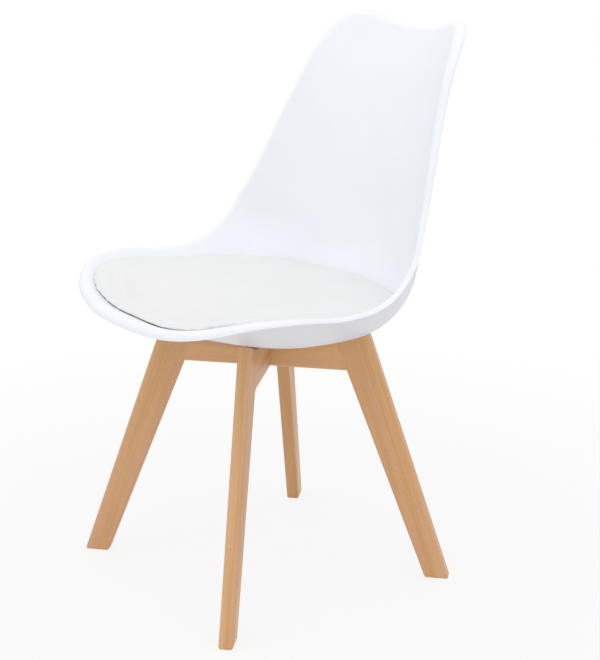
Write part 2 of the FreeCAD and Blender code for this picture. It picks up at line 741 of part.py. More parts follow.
def cushion():
    cover = cushion_solid(0)
    filling = cushion_solid(size("cover_thickness"))
    board_low = size("cushion_underside") + size("cover_thickness")
    middle_y = size("cushion_board_setback")
    plate = rounded_slab("cushion_board", "sizes.board_width", "sizes.board_depth", "sizes.board_corner",
                         board_low, "sizes.cushion_board_thickness", middle_y)
    pilots = [cylinder("pilot_hole", "sizes.screw_radius", "%g" % pilot_depth(), Vector(x, y, board_low))
              for x, y in screw_places()]
    node(cut("cushion_board", plate, union("pilot_holes", pilots)), "cushion_board")
    opening = rounded_slab("cover_opening", "sizes.board_width - 2 * sizes.cover_turnunder",
                           "sizes.board_depth - 2 * sizes.cover_turnunder",
                           "sizes.board_corner - sizes.cover_turnunder",
                           size("cushion_underside") - 1, "sizes.cover_thickness + 2", middle_y)
    doc.recompute()

    foam = doc.addObject("Part::Feature", "cushion_foam")
    foam.Shape = filling.cut(plate.Shape)
    node(foam, "cushion_foam")
    skin_part = doc.addObject("Part::Feature", "cushion_cover")
    skin_part.Shape = cover.cut(Part.makeCompound([filling, opening.Shape]))
    node(skin_part, "cushion_cover")


def pilot_depth():
    """How far the cushion screws bite into the cushion board."""
    return screw_bearing() + size("screw_length") - size("cushion_underside") - size("cover_thickness")


def cushion_screws():
    """Pan head screws driven up from under the shell into the cushion board."""
    shank = cylinder("screw_shank", "sizes.screw_radius", "sizes.screw_length")
    head = cylinder("screw_head", "sizes.screw_head_radius", "sizes.screw_head_height",
                    Vector(0, 0, -size("screw_head_height")))
    doc.recompute()
    domed = doc.addObject("Part::Fillet", "screw_domed_head")
    domed.Base = head
    domed.Edges = [(i + 1, size("screw_head_round"), size("screw_head_round"))
                   for i, e in enumerate(head.Shape.Edges) if e.Closed and e.CenterOfMass.z < -0.1]
    group("cushion_screws", union("screw", [shank, domed]),
          [Placement(Vector(x, y, screw_bearing()), Rotation()) for x, y in screw_places()])


def check_and_export():
    doc.recompute()
    for item in doc.Objects:
        bad = [word for word in item.State if word in ("Invalid", "Error")]
        if bad:
            raise RuntimeError("%s is %s" % (item.Label, bad))
    os.makedirs("parts", exist_ok=True)
    for part in NODES:
        shape = part.Shape
        if shape.isNull() or not shape.isValid() or shape.Volume <= 0:
            raise RuntimeError("%s has no sound shape" % part.Label)
        shape.exportStep("parts/%s.step" % part.Label)
        box = shape.BoundBox
        print("%-24s %d solid(s) %10.0f mm3  x %.1f..%.1f  y %.1f..%.1f  z %.1f..%.1f" % (
            part.Label, len(shape.Solids), shape.Volume, box.XMin, box.XMax, box.YMin, box.YMax,
            box.ZMin, box.ZMax))


beech_frame()
dowels()
frame_fasteners()
glides()
seat_shell()
shell_inserts()
cushion()
cushion_screws()
check_and_export()
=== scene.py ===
import math

import bpy
from bpy.props import FloatProperty, FloatVectorProperty, IntProperty, PointerProperty
from mathutils import Euler, Matrix, Vector, noise
from mathutils.bvhtree import BVHTree


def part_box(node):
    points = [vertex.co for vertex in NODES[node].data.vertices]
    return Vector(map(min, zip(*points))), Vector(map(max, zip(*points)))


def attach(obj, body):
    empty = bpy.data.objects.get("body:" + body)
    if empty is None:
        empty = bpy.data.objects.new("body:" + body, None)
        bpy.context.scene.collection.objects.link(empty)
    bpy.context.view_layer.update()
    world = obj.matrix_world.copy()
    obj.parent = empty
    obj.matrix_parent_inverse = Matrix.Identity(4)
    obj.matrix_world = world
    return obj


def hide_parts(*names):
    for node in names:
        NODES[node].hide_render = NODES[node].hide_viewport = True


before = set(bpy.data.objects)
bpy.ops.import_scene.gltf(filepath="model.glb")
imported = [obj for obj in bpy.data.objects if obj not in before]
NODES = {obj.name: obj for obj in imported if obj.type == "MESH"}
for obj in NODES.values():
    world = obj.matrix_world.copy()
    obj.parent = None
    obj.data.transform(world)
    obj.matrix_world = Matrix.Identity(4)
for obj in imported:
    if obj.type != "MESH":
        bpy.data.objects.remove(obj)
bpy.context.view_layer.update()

bl_info = {
    "name": "Shell Chair Dresser",
    "version": (1, 0, 0),
    "blender": (4, 5, 0),
    "location": "3D View > Sidebar > Shell Chair",
    "description": "Dresses a moulded shell chair with a padded seat and a crossed beech frame",
    "category": "Object",
}

# The arms and rails of the crossed frame, in degrees about the vertical from the +X direction
ARMS = {"front_left": -45, "back_left": 45, "back_right": 135, "front_right": -135}
RAILS = {"upper_cross_rail": 45, "lower_cross_rail": 135}
# Slope of the legs, in degrees from the level
LEG_SLOPE = 71
# Painted light: how much lighter each leg's wood and the rails' wood are painted beside the others, standing
# in for the light that falls on them
LEG_PAINTED_LIGHT = {"front_left": 1.0, "back_left": 1.08, "back_right": 1.03, "front_right": 1.0}
RAIL_PAINTED_LIGHT = 1.08
# Step in the grain pattern from one leg's board to the next, and where the rails' boards begin
LEG_SEED_STEP = 0.37
RAIL_SEED = 2.1

# Half the width of the floor
FLOOR_REACH = 6.0
# Direction from which the soft light all round is strongest
LIGHT_FROM = (0.2, -0.75, 0.63)
# Where the lamp over the seat hangs, what it points at and how wide it is
LAMP_PLACE = (0.4, -0.3, 3.0)
LAMP_AIM = (0, 0, 0.5)
LAMP_WIDTH = 2.4


# Settings

class CameraSettings(bpy.types.PropertyGroup):
    place: FloatVectorProperty(
        name="Place", description="Where the camera stands", subtype="XYZ", unit="LENGTH",
        default=(1.7668, -1.2095, 1.0278))
    turn: FloatProperty(
        name="Turn", description="Direction of view, anticlockwise from looking straight at the front",
        subtype="ANGLE", default=math.radians(54.57))
    tilt: FloatProperty(
        name="Tilt", description="How far the camera looks down", subtype="ANGLE",
        default=math.radians(16.95))
    roll: FloatProperty(
        name="Roll", description="Roll of the camera about its own axis", subtype="ANGLE",
        default=math.radians(0.6))
    lens: FloatProperty(
        name="Lens", description="Focal length on a 36 mm sensor", default=81.8, min=10, max=300)


class StageSettings(bpy.types.PropertyGroup):
    floor_colour: FloatVectorProperty(
        name="Floor", description="Colour of the floor", subtype="COLOR", size=3,
        default=(0.74, 0.74, 0.74), min=0, max=1)
    near_white: FloatProperty(
        name="White near the chair", description="How far the floor under the chair fades to white",
        subtype="FACTOR", default=0.84, min=0, max=1)
    fade_start: FloatProperty(
        name="Fade start", description="Distance from the chair where the floor begins to fade to white",
        default=0.45, unit="LENGTH")
    fade_end: FloatProperty(
        name="Fade end", description="Distance from the chair where the floor is plain white",
        default=1.3, unit="LENGTH")
    fill: FloatProperty(
        name="Fill", description="Strength of the soft light from above and in front", default=1.01, min=0)
    back_fill: FloatProperty(
        name="Back fill", description="Strength of the soft light from below and behind",
        default=0.7, min=0)
    overhead: FloatProperty(
        name="Overhead", description="Power of the large soft lamp over the seat", default=11, min=0,
        unit="POWER")


class ShellSettings(bpy.types.PropertyGroup):
    colour: FloatVectorProperty(
        name="Colour", description="Colour of the moulded shell", subtype="COLOR", size=3,
        default=(0.88, 0.897, 0.945), min=0, max=1)
    roughness: FloatProperty(
        name="Roughness", description="How matt the shell is", default=0.42, min=0, max=1)
    grain_depth: FloatProperty(
        name="Grain depth", description="Height of the fine moulded grain", default=0.00002,
        unit="LENGTH", precision=6)


class CushionSettings(bpy.types.PropertyGroup):
    colour: FloatVectorProperty(
        name="Colour", description="Colour of the leatherette cover", subtype="COLOR", size=3,
        default=(0.81, 0.82, 0.81), min=0, max=1)
    voxel: FloatProperty(
        name="Voxel", description="Mesh size of the padded form before it is blown up",
        default=0.005, unit="LENGTH")
    slack: FloatProperty(
        name="Slack", description="How far the middle sinks before it is blown up again",
        default=0.003, unit="LENGTH")
    pressure: FloatProperty(
        name="Pressure", description="Air pressure that swells the padding", default=4)
    frames: IntProperty(name="Frames", description="How long the padding swells", default=20, min=2)
    swell_limit: FloatProperty(
        name="Swell limit", description="Furthest that any point of the cushion may move",
        default=0.006, unit="LENGTH")
    held_edge: FloatProperty(
        name="Held edge", description="Nearer to the shell than this the cover keeps its sewn outline",
        default=0.004, unit="LENGTH")
    free_middle: FloatProperty(
        name="Free middle", description="Further from the shell than this the cover moves freely",
        default=0.018, unit="LENGTH")
    crease_depth: FloatProperty(
        name="Crease depth", description="Depth of the faint creases behind the front edge",
        default=0.0046, unit="LENGTH", precision=5)
    ripple: FloatProperty(
        name="Ripple", description="Height of the slow unevenness of the padding",
        default=0.0003, unit="LENGTH", precision=5)
    front_fullness: FloatProperty(
        name="Front fullness", description="How far the cover bulges over the front of the bowl",
        default=0.017, unit="LENGTH")
    edge_softness: IntProperty(
        name="Edge softness", description="How many times the sewn edge is rounded over", default=8, min=0)


class WoodSettings(bpy.types.PropertyGroup):
    light: FloatVectorProperty(
        name="Light wood", description="Colour of the pale early growth", subtype="COLOR", size=3,
        default=(0.74, 0.44, 0.20), min=0, max=1)
    dark: FloatVectorProperty(
        name="Dark wood", description="Colour of the denser late growth", subtype="COLOR", size=3,
        default=(0.60, 0.315, 0.13), min=0, max=1)
    rosy: FloatVectorProperty(
        name="Rosy wood", description="Colour of the pinker streaks", subtype="COLOR", size=3,
        default=(0.70, 0.40, 0.245), min=0, max=1)
    fleck: FloatVectorProperty(
        name="Fleck", description="Colour of the short ray flecks", subtype="COLOR", size=3,
        default=(0.36, 0.18, 0.08), min=0, max=1)
    roughness: FloatProperty(
        name="Roughness", description="How matt the lacquer is", default=0.4, min=0, max=1)


class ChairSettings(bpy.types.PropertyGroup):
    camera: PointerProperty(type=CameraSettings)
    stage: PointerProperty(type=StageSettings)
    shell: PointerProperty(type=ShellSettings)
    cushion: PointerProperty(type=CushionSettings)
    wood: PointerProperty(type=WoodSettings)


# Node trees

class Tree:
    """Shorthand for building a node tree."""

    def __init__(self, tree):
        self.tree = tree

    def add(self, kind, values=None, **settings):
        """A new node with its settings, its socket values and its incoming links."""
        node = self.tree.nodes.new(kind)
        for name, value in settings.items():
            setattr(node, name, value)
        for name, value in (values or {}).items():
            if isinstance(value, bpy.types.NodeSocket):
                self.tree.links.new(value, node.inputs[name])
            else:
                node.inputs[name].default_value = value
        return node

    def maths(self, operation, first, second):
        return self.add("ShaderNodeMath", {0: first, 1: second}, operation=operation).outputs[0]

    def span(self, value, low, high, to_low=0.0, to_high=1.0):
        """A value mapped smoothly from one span to another."""
        node = self.add("ShaderNodeMapRange", {
            "Value": value, "From Min": low, "From Max": high, "To Min": to_low, "To Max": to_high},
            interpolation_type="SMOOTHSTEP")
        return node.outputs["Result"]

    def blend(self, factor, first, second):
        """A colour between two, which are the node's inputs 6 and 7."""
        return self.add("ShaderNodeMix", {"Factor": factor, 6: first, 7: second}, data_type="RGBA").outputs[2]

    def noise(self, vector, scale=1.0, detail=2.0, roughness=0.5):
        return self.add("ShaderNodeTexNoise", {
            "Vector": vector, "Scale": scale, "Detail": detail, "Roughness": roughness}).outputs["Fac"]

    def stretched(self, vector, scale):
        """The vector scaled apart along its axes."""
        return self.add("ShaderNodeVectorMath", {0: vector, 1: scale}, operation="MULTIPLY").outputs[0]


def rgba(colour):
    return tuple(colour) + (1.0,)


def effect(name, inputs, outputs):
    """Empty shader node group with named sockets: (tree, group input node, group output node)."""
    group = bpy.data.node_groups.new(name, "ShaderNodeTree")
    for socket, kind, default in inputs:
        made = group.interface.new_socket(socket, in_out="INPUT", socket_type="NodeSocket" + kind)
        if default is not None:
            made.default_value = default
    for socket, kind in outputs:
        group.interface.new_socket(socket, in_out="OUTPUT", socket_type="NodeSocket" + kind)
    tree = Tree(group)
    return tree, tree.add("NodeGroupInput").outputs, tree.add("NodeGroupOutput").inputs


def material(name, roughness, metallic=0.0, **sockets):
    """New material: (material, tree, Principled shader node)."""
    made = bpy.data.materials.new(name)
    made.use_nodes = True
    made.node_tree.nodes.clear()
    tree = Tree(made.node_tree)
    shader = tree.add("ShaderNodeBsdfPrincipled", {"Roughness": roughness, "Metallic": metallic})
    for socket, value in sockets.items():
        shader.inputs[socket.replace("_", " ")].default_value = value
    tree.add("ShaderNodeOutputMaterial", {"Surface": shader.outputs[0]})
    return made, tree, shader


def place(tree):
    """Position on the object, in metres."""
    return tree.add("ShaderNodeTexCoord").outputs["Object"]


def bump(tree, shader, height, distance):
    """Let a height roughen the surface, at most by a distance in metres."""
    normal = tree.add("ShaderNodeBump", {"Height": height, "Distance": distance, "Strength": 1.0})
    tree.tree.links.new(normal.outputs[0], shader.inputs["Normal"])


def use_group(tree, group, values):
    """The outputs of a shared effect, placed in a material with its own values."""
    return tree.add("ShaderNodeGroup", values, node_tree=group).outputs


def finish_node(name, made):
    """Give a CAD node its finished material."""
    mesh = NODES[name].data
    mesh.materials.clear()
    mesh.materials.append(made)


# Shared effects

def soft_mottle_effect():
    """Slow, faint variation of tone over a pale surface, with a fine even grain."""
    tree, given, out = effect(
        "Soft mottle",
        [("Vector", "Vector", None), ("Patch size", "Float", 12.0), ("Grain size", "Float", 2600.0)],
        [("Tone", "Float"), ("Grain", "Float")])
    slow = tree.noise(given["Vector"], given["Patch size"], detail=3.0, roughness=0.55)
    fine = tree.noise(given["Vector"], given["Grain size"], detail=1.0)
    tree.tree.links.new(slow, out["Tone"])
    tree.tree.links.new(fine, out["Grain"])
    return tree.tree


def beech_effect():
    """Beech cut along the grain, which runs along the vector's X: growth tone, pores and flecks.

    Each stretch is the number of marks to the metre along the grain, across it and through the board.
    """
    tree, given, out = effect(
        "Beech grain",
        [("Vector", "Vector", None), ("Seed", "Float", 0.0)],
        [("Growth", "Float"), ("Streak", "Float"), ("Fleck", "Float"), ("Pore", "Float")])
    shift = tree.add("ShaderNodeCombineXYZ", {"X": given["Seed"], "Y": given["Seed"], "Z": given["Seed"]})
    start = tree.add("ShaderNodeVectorMath", {0: given["Vector"], 1: shift.outputs[0]},
                     operation="ADD").outputs[0]
    bands = tree.noise(tree.stretched(start, (2.2, 42.0, 30.0)), detail=3.0)
    lines = tree.noise(tree.stretched(start, (5.0, 420.0, 300.0)), roughness=0.6)
    growth = tree.maths("ADD", tree.maths("MULTIPLY", bands, 0.65), tree.maths("MULTIPLY", lines, 0.35))
    tree.tree.links.new(tree.span(growth, 0.32, 0.68), out["Growth"])
    cells = tree.add("ShaderNodeTexVoronoi", {
        "Vector": tree.stretched(start, (260.0, 1150.0, 1150.0)), "Scale": 1.0, "Randomness": 1.0})
    picked = tree.add("ShaderNodeSeparateColor", {"Color": cells.outputs["Color"]}).outputs[0]
    spot = tree.span(cells.outputs["Distance"], 0.42, 0.22)
    rare = tree.span(picked, 0.72, 0.95)
    clustered = tree.span(tree.noise(tree.stretched(start, (9.0, 130.0, 130.0))), 0.45, 0.62)
    tree.tree.links.new(tree.maths("MULTIPLY", tree.maths("MULTIPLY", spot, rare), clustered), out["Fleck"])
    streak = tree.noise(tree.stretched(start, (3.0, 95.0, 95.0)), roughness=0.55)
    tree.tree.links.new(tree.span(streak, 0.42, 0.68), out["Streak"])
    pores = tree.noise(tree.stretched(start, (60.0, 3600.0, 3600.0)), detail=1.0)
    tree.tree.links.new(pores, out["Pore"])
    return tree.tree


def metal_wear_effect():
    """Handling marks on small steel and brass parts."""
    tree, given, out = effect(
        "Metal wear",
        [("Vector", "Vector", None), ("Scale", "Float", 900.0)],
        [("Scuff", "Float"), ("Dull", "Float")])
    scuff = tree.noise(tree.stretched(given["Vector"], (1.0, 1.0, 0.2)), given["Scale"], detail=3.0,
                       roughness=0.6)
    dull = tree.noise(given["Vector"], scale=160.0)
    tree.tree.links.new(scuff, out["Scuff"])
    tree.tree.links.new(dull, out["Dull"])
    return tree.tree


def shared(name, build):
    """A shared effect, built the first time it is asked for."""
    return bpy.data.node_groups.get(name) or build()


# Materials

# Colours of the small parts: steel and brass, and the darkest and lightest of the others
STEEL = (0.62, 0.63, 0.65)
BRASS = (0.78, 0.58, 0.26)
NYLON = ((0.66, 0.65, 0.61), (0.76, 0.75, 0.72))
PLYWOOD = ((0.42, 0.27, 0.14), (0.62, 0.43, 0.25))
FOAM = ((0.66, 0.62, 0.46), (0.8, 0.76, 0.6))
# Layers of the plywood to the metre
LAYERS_PER_METRE = 750.0


def shell_plastic(settings):
    made, tree, shader = material("shell plastic", settings.roughness, IOR=1.49)
    marks = use_group(tree, shared("Soft mottle", soft_mottle_effect),
                      {"Vector": place(tree), "Patch size": 7.0, "Grain size": 2400.0})
    base = Vector(settings.colour)
    tone = tree.span(marks["Tone"], 0.3, 0.7)
    colour = tree.blend(tone, rgba(base * 0.985), rgba(base * 1.01))
    tree.tree.links.new(colour, shader.inputs["Base Color"])
    tree.tree.links.new(tree.span(marks["Tone"], 0.25, 0.75, settings.roughness - 0.04,
                                  settings.roughness + 0.04), shader.inputs["Roughness"])
    bump(tree, shader, marks["Grain"], settings.grain_depth)
    return made


def leatherette(settings):
    made, tree, shader = material("leatherette", 0.5, IOR=1.46)
    here = place(tree)
    marks = use_group(tree, shared("Soft mottle", soft_mottle_effect),
                      {"Vector": here, "Patch size": 16.0, "Grain size": 1500.0})
    pebbles = tree.add("ShaderNodeTexVoronoi", {"Vector": here, "Scale": 1100.0},
                       feature="SMOOTH_F1").outputs["Distance"]
    base = Vector(settings.colour)
    tone = tree.span(marks["Tone"], 0.3, 0.7)
    colour = tree.blend(tone, rgba(base * 0.99), rgba(base * 1.005))
    tree.tree.links.new(colour, shader.inputs["Base Color"])
    tree.tree.links.new(tree.span(pebbles, 0.1, 0.7, 0.46, 0.6), shader.inputs["Roughness"])
    height = tree.maths("ADD", tree.maths("MULTIPLY", pebbles, 0.8),
                        tree.maths("MULTIPLY", marks["Grain"], 0.2))
    bump(tree, shader, height, distance=0.00012)
    return made


def beech(settings, name, turn, slope, seed, tone):
    """Lacquered beech whose grain runs along a board: turned about the vertical, then sloping."""
    made, tree, shader = material(name, settings.roughness, IOR=1.5)
    spin = Euler((0, math.radians(slope), math.radians(turn))).to_matrix().inverted().to_euler()
    along = tree.add("ShaderNodeMapping", {
        "Vector": place(tree), "Rotation": tuple(spin)}, vector_type="POINT").outputs[0]
    grain = use_group(tree, shared("Beech grain", beech_effect), {"Vector": along, "Seed": seed})
    # Painted light: both wood colours are multiplied by this piece's painted-light factor (tone), which
    # stands in for the light falling on it
    early, late = Vector(settings.light) * tone, Vector(settings.dark) * tone
    colour = tree.blend(grain["Growth"], rgba(early), rgba(late))
    colour = tree.blend(tree.maths("MULTIPLY", grain["Streak"], 0.6), colour, rgba(settings.rosy))
    colour = tree.blend(tree.maths("MULTIPLY", grain["Fleck"], 0.8), colour, rgba(settings.fleck))
    colour = tree.blend(tree.span(grain["Pore"], 0.6, 0.75, 0.0, 0.25), colour, rgba(settings.fleck))
    tree.tree.links.new(colour, shader.inputs["Base Color"])
    tree.tree.links.new(tree.span(grain["Growth"], 0.0, 1.0, settings.roughness - 0.05,
                                  settings.roughness + 0.06), shader.inputs["Roughness"])
    height = tree.maths("ADD", tree.maths("MULTIPLY", grain["Pore"], -0.5),
                        tree.maths("MULTIPLY", grain["Fleck"], -0.5))
    bump(tree, shader, height, distance=0.00006)
    return made


def small_metal(name, colour, roughness):
    made, tree, shader = material(name, roughness, metallic=1.0)
    marks = use_group(tree, shared("Metal wear", metal_wear_effect), {"Vector": place(tree)})
    base = Vector(colour)
    tree.tree.links.new(tree.blend(tree.span(marks["Dull"], 0.3, 0.7), rgba(base * 0.9), rgba(base)),
                        shader.inputs["Base Color"])
    tree.tree.links.new(tree.span(marks["Scuff"], 0.3, 0.7, roughness - 0.08, roughness + 0.1),
                        shader.inputs["Roughness"])
    return made


def glide_nylon():
    made, tree, shader = material("glide nylon", 0.5, IOR=1.53)
    marks = use_group(tree, shared("Soft mottle", soft_mottle_effect),
                      {"Vector": place(tree), "Patch size": 120.0, "Grain size": 3000.0})
    dark, light = NYLON
    tree.tree.links.new(tree.blend(marks["Tone"], rgba(dark), rgba(light)), shader.inputs["Base Color"])
    bump(tree, shader, marks["Grain"], distance=0.00003)
    return made


def plywood():
    """Layers stacked upwards, pale and dark by turns."""
    made, tree, shader = material("plywood", 0.62, IOR=1.5)
    here = place(tree)
    height = tree.add("ShaderNodeSeparateXYZ", {"Vector": here}).outputs["Z"]
    layer = tree.maths("PINGPONG", tree.maths("MULTIPLY", height, LAYERS_PER_METRE), 1.0)
    grain = tree.noise(tree.stretched(here, (12.0, 500.0, 500.0)))
    tone = tree.maths("ADD", tree.maths("MULTIPLY", tree.span(layer, 0.3, 0.7), 0.5),
                      tree.maths("MULTIPLY", grain, 0.5))
    dark, light = PLYWOOD
    tree.tree.links.new(tree.blend(tone, rgba(dark), rgba(light)), shader.inputs["Base Color"])
    return made


def foam():
    made, tree, shader = material("foam", 0.9)
    cells = tree.add("ShaderNodeTexVoronoi", {"Vector": place(tree), "Scale": 900.0}).outputs["Distance"]
    dark, light = FOAM
    tree.tree.links.new(tree.blend(tree.span(cells, 0.1, 0.6), rgba(dark), rgba(light)),
                        shader.inputs["Base Color"])
    bump(tree, shader, cells, distance=0.0004)
    return made


# Operators

class CHAIR_OT_camera(bpy.types.Operator):
    """Place the camera at the photograph's point of view"""
    bl_idname = "chair.camera"
    bl_label = "Camera"

    def execute(self, context):
        settings = context.scene.shell_chair.camera
        data = bpy.data.cameras.new("camera")
        data.lens = settings.lens
        data.clip_start, data.clip_end = 0.05, 50
        camera = bpy.data.objects.new("camera", data)
        context.scene.collection.objects.link(camera)
        look = (Matrix.Rotation(settings.turn, 4, "Z")
                @ Matrix.Rotation(math.pi / 2 - settings.tilt, 4, "X")
                @ Matrix.Rotation(settings.roll, 4, "Z"))
        camera.matrix_world = Matrix.Translation(settings.place) @ look
        context.scene.camera = camera
        return {"FINISHED"}


def soft_lamp(name, place_at, aim_at, width, power):
    """A round lamp at one place, pointed at another."""
    data = bpy.data.lights.new(name, "AREA")
    data.shape, data.size, data.energy = "DISK", width, power
    lamp = bpy.data.objects.new(name, data)
    lamp.location = place_at
    lamp.rotation_euler = (Vector(aim_at) - Vector(place_at)).to_track_quat("-Z", "Y").to_euler()
    bpy.context.scene.collection.objects.link(lamp)


def background_rays(tree):
    """1 for the rays that show a background: those of the camera, of gloss and of glass."""
    path = tree.add("ShaderNodeLightPath").outputs
    return tree.maths("MAXIMUM", path["Is Camera Ray"],
                      tree.maths("MAXIMUM", path["Is Glossy Ray"], path["Is Transmission Ray"]))


def floor_paint(settings):
    """Pale floor that keeps the chair's shadow and fades to plain white away from it."""
    made, tree, shader = material("floor paint", 0.9)
    here = place(tree)
    base = Vector(settings.floor_colour)
    tree.tree.links.new(tree.blend(tree.noise(here, scale=3.0), rgba(base * 0.995), rgba(base)),
                        shader.inputs["Base Color"])
    away = tree.add("ShaderNodeVectorMath", {0: here}, operation="LENGTH").outputs["Value"]
    white = tree.span(away, settings.fade_start, settings.fade_end, settings.near_white, 1.0)
    glow = tree.add("ShaderNodeEmission", {"Color": (1, 1, 1, 1), "Strength": 1.0})
    shown = tree.add("ShaderNodeMixShader", {
        0: tree.maths("MULTIPLY", white, background_rays(tree)),
        1: shader.outputs[0], 2: glow.outputs[0]})
    tree.tree.links.new(shown.outputs[0], tree.tree.nodes["Material Output"].inputs["Surface"])
    return made


class CHAIR_OT_stage(bpy.types.Operator):
    """Lay a pale floor and set soft studio light on a white background"""
    bl_idname = "chair.stage"
    bl_label = "Stage"

    def execute(self, context):
        settings = context.scene.shell_chair.stage
        context.scene.view_settings.view_transform = "Standard"

        mesh = bpy.data.meshes.new("floor")
        mesh.from_pydata([(-FLOOR_REACH, -FLOOR_REACH, 0), (FLOOR_REACH, -FLOOR_REACH, 0),
                          (FLOOR_REACH, FLOOR_REACH, 0), (-FLOOR_REACH, FLOOR_REACH, 0)], [], [(0, 1, 2, 3)])
        floor = bpy.data.objects.new("floor", mesh)
        context.scene.collection.objects.link(floor)
        mesh.materials.append(floor_paint(settings))

        world = bpy.data.worlds.new("studio")
        context.scene.world = world
        world.use_nodes = True
        world.node_tree.nodes.clear()
        air = Tree(world.node_tree)
        facing = air.add("ShaderNodeVectorMath", {
            0: air.add("ShaderNodeTexCoord").outputs["Generated"], 1: LIGHT_FROM},
            operation="DOT_PRODUCT").outputs["Value"]
        soft = air.span(facing, -1.0, 1.0, settings.back_fill, settings.fill)
        strength = air.span(background_rays(air), 0.0, 1.0, soft, 1.0)
        light = air.add("ShaderNodeBackground", {"Color": (1, 1, 1, 1), "Strength": strength})
        air.add("ShaderNodeOutputWorld", {"Surface": light.outputs[0]})

        soft_lamp("overhead", LAMP_PLACE, LAMP_AIM, LAMP_WIDTH, settings.overhead)
        return {"FINISHED"}


class CHAIR_OT_shell(bpy.types.Operator):
    """Finish the moulded shell"""
    bl_idname = "chair.shell"
    bl_label = "Shell"

    def execute(self, context):
        finish_node("seat_shell", shell_plastic(context.scene.shell_chair.shell))
        return {"FINISHED"}


class CHAIR_OT_frame(bpy.types.Operator):
    """Finish the crossed beech frame with grain along each piece"""
    bl_idname = "chair.frame"
    bl_label = "Beech frame"

    def execute(self, context):
        settings = context.scene.shell_chair.wood
        # Each leg and rail gets its own painted light: a lighter wood colour standing in for the light on it
        for count, (arm, turn) in enumerate(ARMS.items()):
            made = beech(settings, arm + " beech", turn, LEG_SLOPE, LEG_SEED_STEP * count, LEG_PAINTED_LIGHT[arm])
            finish_node(arm + "_leg", made)
            finish_node(arm + "_dowels", made)
        for count, (rail, turn) in enumerate(RAILS.items()):
            made = beech(settings, rail.replace("_", " "), turn, 0, RAIL_SEED + count, RAIL_PAINTED_LIGHT)
            finish_node(rail, made)
        return {"FINISHED"}


class CHAIR_OT_fixings(bpy.types.Operator):
    """Finish the bolts, washers, inserts, screws, nails and glides, and the cushion's board and foam"""
    bl_idname = "chair.fixings"
    bl_label = "Fixings"

    def execute(self, context):
        steel = small_metal("zinc steel", STEEL, roughness=0.32)
        for name in ("frame_bolts", "spring_washers", "flat_washers", "cushion_screws", "glide_nails"):
            finish_node(name, steel)
        finish_node("threaded_inserts", small_metal("brass", BRASS, roughness=0.3))
        finish_node("foot_glides", glide_nylon())
        finish_node("cushion_board", plywood())
        finish_node("cushion_foam", foam())
        return {"FINISHED"}


# Cushion

# The vertex group that holds the cover's sewn edge and underside
HELD = "held"
# The cover's faces further than this from the foam are its outer skin
SKIN_APART = 0.0005
# Nearer to the board than this the padding keeps its own recess for the board
RECESS_REACH = 0.0042
# Faint creases in the cover: ends (x, y) in metres, width in metres, and share of the crease depth
CREASES = (
    ((-0.158, -0.186), (-0.070, -0.224), 0.009, 0.8),
    ((-0.122, -0.174), (-0.028, -0.208), 0.011, 1.0),
    ((-0.026, -0.229), (0.066, -0.226), 0.009, 0.9),
    ((0.000, -0.203), (0.100, -0.210), 0.011, 0.7),
    ((-0.178, -0.114), (-0.154, -0.160), 0.009, 0.6),
    ((0.146, -0.160), (0.174, -0.110), 0.010, 0.5),
)
# How much narrower a crease is in its middle, and the share of a half wave that each end leaves out
CREASE_PINCH = 0.004
CREASE_END = 0.1
# How far upwards the cover faces, from 0 to 1, where the creases begin and where they are full
CREASED_FACING = (0.5, 0.9)
# Rises and dips of the uneven padding to the metre
DIPS_PER_METRE = 18
# Sectors in which the cushion's outline is measured, and how often their reach is evened out
SECTORS = 72
EVENING_ROUNDS = 3
# Where the front's bulge begins and where it is full: share of the way that is forwards, and share of
# the way to the outline
FORWARD_SPAN = (0.35, 1.0)
OUTWARD_SPAN = (0.7, 1.0)
# Shortest way from the middle that is divided by
LEAST_WAY = 1e-6
# A height above the whole chair, from which the bowl is measured downwards
OVER_CHAIR = 1


def node_surface(name, keep=lambda centre: True):
    """A CAD node's faces as a search tree."""
    mesh = NODES[name].data
    faces = [face.vertices for face in mesh.polygons if keep(face.center)]
    return BVHTree.FromPolygons([vertex.co for vertex in mesh.vertices], faces)


def smooth_step(value, low, high):
    """0 below a span, 1 above it, and a smooth rise within it."""
    share = min(max((value - low) / (high - low), 0), 1)
    return share * share * (3 - 2 * share)


def freedom(point, shell, settings):
    """How freely the cover may move at a point: 0 beside the shell, 1 in the middle of the cushion."""
    away = shell.find_nearest(point, settings.free_middle)[3]
    return 1 if away is None else smooth_step(away, settings.held_edge, settings.free_middle)


def rises(piece):
    """How far upwards each vertex faces, from -1 to 1."""
    return [vertex.normal.z for vertex in piece.data.vertices]


def padded_form(settings, shell):
    """Evenly meshed form of the padding, sunk a little in the middle, with its free points weighted."""
    form = bpy.data.objects.new("seat_cushion", NODES["cushion_foam"].data.copy())
    bpy.context.scene.collection.objects.link(form)
    remesh = form.modifiers.new("even mesh", "REMESH")
    remesh.mode, remesh.voxel_size = "VOXEL", settings.voxel
    apply_modifiers(form)
    held = form.vertex_groups.new(name=HELD)
    for vertex, rise in zip(form.data.vertices, rises(form)):
        free = freedom(vertex.co, shell, settings) if rise > 0 else 0
        held.add([vertex.index], 1 - free, "REPLACE")
        vertex.co.z -= settings.slack * free
    return form


def apply_modifiers(piece):
    """Replace a piece's mesh by what its modifiers make of it."""
    graph = bpy.context.evaluated_depsgraph_get()
    mesh = bpy.data.meshes.new_from_object(piece.evaluated_get(graph), preserve_all_data_layers=True,
                                           depsgraph=graph)
    piece.modifiers.clear()
    piece.data = mesh


